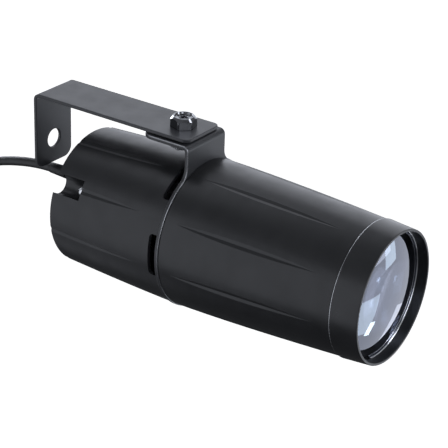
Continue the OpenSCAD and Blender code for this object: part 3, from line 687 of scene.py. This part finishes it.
def oblong(width, thick, n=64):
    """Points of a rounded oblong, long along Y, with the same angles as a ring."""
    out = []
    power = 2 + 2.2 * smooth((width / thick - 1) / 1.2)
    for i in range(n):
        a = 2 * math.pi * i / n
        c, s = math.cos(a), math.sin(a)
        out.append((thick / 2 * math.copysign(abs(c) ** (2 / power), c),
                    width / 2 * math.copysign(abs(s) ** (2 / power), s)))
    return out


PLUG_X, PLUG_FACE_Z, PLUG_W, PLUG_T = -104.6, -196.0, 35.3, 13.7
PIN_Y = 9.3
PIN_SLEEVE = ((1.5, 0.5), (2.02, 0.4), (2.02, -9.6), (1.9, -9.9), (1.6, -9.9))
PIN_TIP = ((1.6, 0), (1.6, -9.8), (2.0, -9.95), (2.0, -17.6), (1.85, -18.3), (1.45, -18.8), (0.8, -19))


def plug_rows():
    """Height over the plug's face, width and thickness of the moulding."""
    front, taper, neck_w, neck_thinner, steps = 8, 16, 13, 3.5, 24
    grip_h, grip_pitch = 0.28, 2.6
    rows = [(0, PLUG_W - 1.6, PLUG_T - 1.6), (0.3, PLUG_W - 0.6, PLUG_T - 0.6),
            (1, PLUG_W, PLUG_T), (front, PLUG_W, PLUG_T)]
    for i in range(1, steps + 1):
        z = front + i * taper / steps
        t = smooth((z - front) / taper)
        grip = grip_h * math.sin((z - front) * 2 * math.pi / grip_pitch)
        grip *= smooth((z - 9.5) / 2) * smooth((23 - z) / 2)
        rows.append((z, PLUG_W - (PLUG_W - neck_w) * t + grip, PLUG_T - neck_thinner * t + 2 * grip))
    rows += [(26, 10.4, 9.8), (28, 9.4, 9.2), (29, 9.2, 9.0)]
    for i in range(4):
        z, d = 29.5 + 1.7 * i, 8.8 - 0.6 * i
        rows += [(z + past, d - less, d - less)
                 for past, less in ((0, 0), (0.2, 1.1), (0.7, 1.1), (0.9, 0.2))]
    return rows + [(36, 6.4, 6.4)]


def add_to_pins(bm, profile):
    """A turned shape, given as (radius, height) pairs, on the axis of each pin."""
    for side in (-1, 1):
        rings = [ring_of(r, z, 32) for r, z in profile]
        loft(bm, placed(rings, (PLUG_X, side * PIN_Y, PLUG_FACE_Z)))


def make_plug():
    """A flat two-pin plug: the moulding with its pins' sleeves, and the bare ends of the pins."""
    bm = bmesh.new()
    rings = [[(x, y, z) for x, y in oblong(width, thick)] for z, width, thick in plug_rows()]
    loft(bm, placed(rings, (PLUG_X, 0, PLUG_FACE_Z)))
    add_to_pins(bm, PIN_SLEEVE)
    body = piece(make_object("plug_moulding", bm, 40), "lamp", "plug_plastic", "plug_body")
    bm = bmesh.new()
    add_to_pins(bm, PIN_TIP)
    return body, piece(make_object("plug_pin_pair", bm, 40), "lamp", "pin_metal", "plug_pins")


def make_tie():
    """A woven band round the waist of the hank, with its free end lapped over."""
    x0, x1, y1, half, thick, r = -103.0, -75.0, 5.6, 4.5, 1.4, 3.0
    middle, lap_y = (x0 + x1) / 2, -y1 - thick - 0.1
    path = [(middle, -y1)]
    for cx, cy, a in ((x1 - r, r - y1, -90), (x1 - r, y1 - r, 0),
                      (x0 + r, y1 - r, 90), (x0 + r, r - y1, 180)):
        path += arc_points(cx, cy, r, a, a + 90, 10)
    path += [(x0 + r + 4, -y1), (middle, -y1 - 0.2), (x1 - 6.5, lap_y), (x1 - r, lap_y)]
    selvedge = [(thick - 0.15, half), (thick, half - 0.2), (thick - 0.12, half - 0.7),
                (thick, half - 1.0)]
    section = ([(0.15, -half)] + [(u, -v) for u, v in selvedge] + selvedge[::-1]
               + [(0.15, half), (0, half - 0.2), (0, 0.2 - half)])
    rings = []
    for i, (px, py) in enumerate(path):
        a, b = path[max(i - 1, 0)], path[min(i + 1, len(path) - 1)]
        d = Vector((b[0] - a[0], b[1] - a[1])).normalized()
        rings.append([(px + d.y * u, py - d.x * u, HANK_MID + v) for u, v in section])
    bm = bmesh.new()
    loft(bm, rings)
    return piece(make_object("lead_tie_band", bm, 50), "lamp", "tie_fabric", "lead_tie")


def make_lens_ring():
    """The lens ring, turned from bar: rounded edges, a groove for the wire and a seat for the lens."""
    rear_x, front_x, rear_r, front_r, bore, sleeve_bore = 104.4, 120.5, 38.2, 37.0, 35.5, 36.6
    lip, lip_steps, rim = 0.6, 5, 0.35
    seat_x, seat_t, seat_bore, groove_r, groove_half = 108.7, 1.3, 33, 35.85, 0.57
    quarter = math.pi / 2
    profile = [(rear_r - lip + lip * math.sin(a), rear_x + lip - lip * math.cos(a))
               for a in even(0, quarter, lip_steps)]
    profile += [(rear_r + (front_r - rear_r) * t, rear_x + lip + (front_x - rim - rear_x - lip) * t)
                for t in even(0.1, 0.9, 4)]
    profile += [(front_r - rim + rim * math.cos(a), front_x - rim + rim * math.sin(a))
                for a in even(0, quarter, 4)]
    profile += [(bore + rim - rim * math.sin(a), front_x - rim + rim * math.cos(a))
                for a in even(0, quarter, 4)]
    profile += [(bore, GROOVE_X + groove_half), (groove_r, GROOVE_X + groove_half),
                (groove_r, GROOVE_X - groove_half), (bore, GROOVE_X - groove_half),
                (bore, seat_x + seat_t), (seat_bore, seat_x + seat_t), (seat_bore, seat_x),
                (sleeve_bore, seat_x), (sleeve_bore, rear_x)]
    bm = bmesh.new()
    angles = [2 * math.pi * i / FINE_SIDES for i in range(FINE_SIDES)]
    rows = [[bm.verts.new((LAMP_X + x, r * math.cos(a), AXIS_Z + r * math.sin(a))) for a in angles]
            for r, x in profile]
    for k, (low, high) in enumerate(zip(rows, rows[1:] + rows[:1])):
        for i in range(FINE_SIDES):
            j = (i + 1) % FINE_SIDES
            # Painted highlight: the rear lip's rounding gets the bright second material.
            bm.faces.new((low[i], low[j], high[j], high[i])).material_index = int(k < lip_steps)
    obj = make_object("lens_ring_turned", bm, 40, weighted=True)
    piece(obj, "lamp", "ring_black", "lens_ring")
    # The second material paints a highlight line along the ring's rear edge.
    obj.data.materials.append(MATS["painted_highlight_lip"])


def make_lens():
    """The lens, with faces fine enough for clean reflections."""
    edge_x, edge_t, rim_r, rear_rim_r = 110.9, 2.7, 35.2, 32.7
    front_radius, rear_radius, pole_r = 100, 196, 0.4

    def sagitta(radius, r):
        return radius - math.sqrt(radius ** 2 - r ** 2)

    profile = [(r, edge_x - sagitta(rear_radius, rear_rim_r) + sagitta(rear_radius, r))
               for r in even(pole_r, rear_rim_r, 20)]
    profile += [(rim_r, edge_x)]
    profile += [(r, edge_x + edge_t + sagitta(front_radius, rim_r) - sagitta(front_radius, r))
                for r in even(rim_r, pole_r, 24)]
    bm = bmesh.new()
    loft(bm, placed([ring_of(r, -x, FINE_SIDES) for r, x in profile], (LAMP_X, 0, AXIS_Z), "x"))
    piece(make_object("lens_ground", bm, 30), "lamp", "lens_glass", "front_lens")


make_bracket()
make_mount_plate()
make_lens()
make_pivot_bolt()
make_housing_screws()
make_retaining_wire()
make_lens_ring()
relief = make_strain_relief()
plug, pins = make_plug()
tie = make_tie()


# ---------------------------------------------------------------- studio
def camera_only(obj):
    """The set is seen but isn't mirrored in the lamp, as in a cut-out product picture."""
    obj.visible_glossy = False
    obj.visible_diffuse = False
    obj.visible_transmission = False
    obj.visible_shadow = False


def cyclorama(name, floor_z, radius, height, sweep):
    """A floor that curves up into a wall all round."""
    turns, sweep_steps = 64, 10
    profile = [(radius - sweep + sweep * math.sin(a), sweep - sweep * math.cos(a))
               for a in even(0, math.pi / 2, sweep_steps)]
    profile.append((radius, height))
    bm = bmesh.new()
    rings = [[bm.verts.new(p) for p in ring_of(r, floor_z + z, turns)] for r, z in profile]
    bm.faces.new(rings[0])
    for low, high in zip(rings, rings[1:]):
        for i in range(turns):
            bm.faces.new((low[i], low[(i + 1) % turns], high[(i + 1) % turns], high[i]))
    data = bpy.data.meshes.new(name)
    bm.to_mesh(data)
    bm.free()
    for face in data.polygons:
        face.use_smooth = True
    return link(name, data)


def direction(azimuth, elevation):
    """Towards the lamp's front at azimuth 0, its left at 90."""
    a, e = math.radians(azimuth), math.radians(elevation)
    return (math.cos(a) * math.cos(e), math.sin(a) * math.cos(e), math.sin(e))


PANEL_AIM, PANEL_DISTANCE = Vector((0.1, 0, -0.03)), 2.2


def softbox(name, toward, size, radiance, tint):
    """A one-sided panel that lights the lamp from a direction."""
    data = bpy.data.lights.new(name, "AREA")
    data.shape = "RECTANGLE"
    data.size, data.size_y = size
    data.energy = radiance * math.pi * size[0] * size[1]
    data.color = tint
    obj = link(name, data)
    obj.location = PANEL_AIM + Vector(toward).normalized() * PANEL_DISTANCE
    obj.rotation_euler = (PANEL_AIM - obj.location).to_track_quat("-Z", "Y").to_euler()
    obj.visible_camera = False


# A soft sky that darkens towards the floor.
world = bpy.data.worlds.new("studio")
scene.world = world
world.use_nodes = True
sky = world.node_tree
split = sky.nodes.new("ShaderNodeSeparateXYZ")
fade = sky.nodes.new("ShaderNodeMapRange")
for key, v in (("From Min", -0.75), ("From Max", 0.1), ("To Min", 0.06), ("To Max", 0.24)):
    fade.inputs[key].default_value = v
sky.links.new(sky.nodes.new("ShaderNodeTexCoord").outputs["Generated"], split.inputs[0])
sky.links.new(split.outputs["Z"], fade.inputs["Value"])
sky.links.new(fade.outputs[0], sky.nodes["Background"].inputs[1])
sky.nodes["Background"].inputs[0].default_value = (0.94, 0.97, 1.05, 1)
scene.view_settings.view_transform = "Standard"

FLOOR_GAP = 0.004
floor = cyclorama("studio_floor", cad_box[0][2] - FLOOR_GAP, radius=5, height=4, sweep=1.5)
floor_mat = Shader("floor_paper", (0.9, 0.9, 0.9), 0.9,
                   Emission_Color=(1, 1, 1, 1), Emission_Strength=1.05)
floor_mat.vary_color(floor_mat.noise(3, 2), (0.92, 0.92, 0.92))
floor.data.materials.append(floor_mat.mat)
camera_only(floor)

COOL, CYAN = (0.93, 0.965, 1.06), (0.84, 1.0, 1.08)
# Name, where the light comes from, width and height in metres, radiance and tint.
PANELS = [
    ("left_panel", (-0.5, -0.86, 0.0), (2.0, 3.1), 0.85, COOL),
    ("top_strip", (-0.5, 0.16, 0.85), (1.6, 0.56), 1.02, COOL),
    ("back_panel", (-0.3, 0.92, 0.27), (2.2, 2.4), 1.15, COOL),
    ("back_left_panel", (-0.85, 0.5, -0.2), (1.4, 1.2), 1.2, COOL),
    ("front_low_panel", (0.5, 0.74, -0.44), (2.6, 2.2), 0.85, COOL),
    ("side_panel", direction(77, -39), (0.46, 0.6), 1.0, COOL),
    ("lens_low_card", direction(34, -30), (0.56, 0.6), 1.1, CYAN),
    ("lens_hot_card", direction(44, -36), (0.16, 0.2), 4.0, CYAN),
    ("lens_high_card", direction(50, -10), (0.42, 0.32), 1.35, CYAN),
    ("lens_level_card", direction(40, 0), (0.8, 0.7), 0.9, COOL),
    ("front_panel", direction(-34, 24), (0.8, 1.9), 2.8, COOL),
    ("edge_strip", direction(23, 26), (0.5, 2.0), 5.0, COOL),
    ("under_panel", (-0.78, -0.22, -0.6), (1.1, 1.5), 0.33, COOL),
    ("rim_strip", direction(158, 8), (1.4, 0.8), 5.5, COOL),
]
for panel in PANELS:
    softbox(*panel)
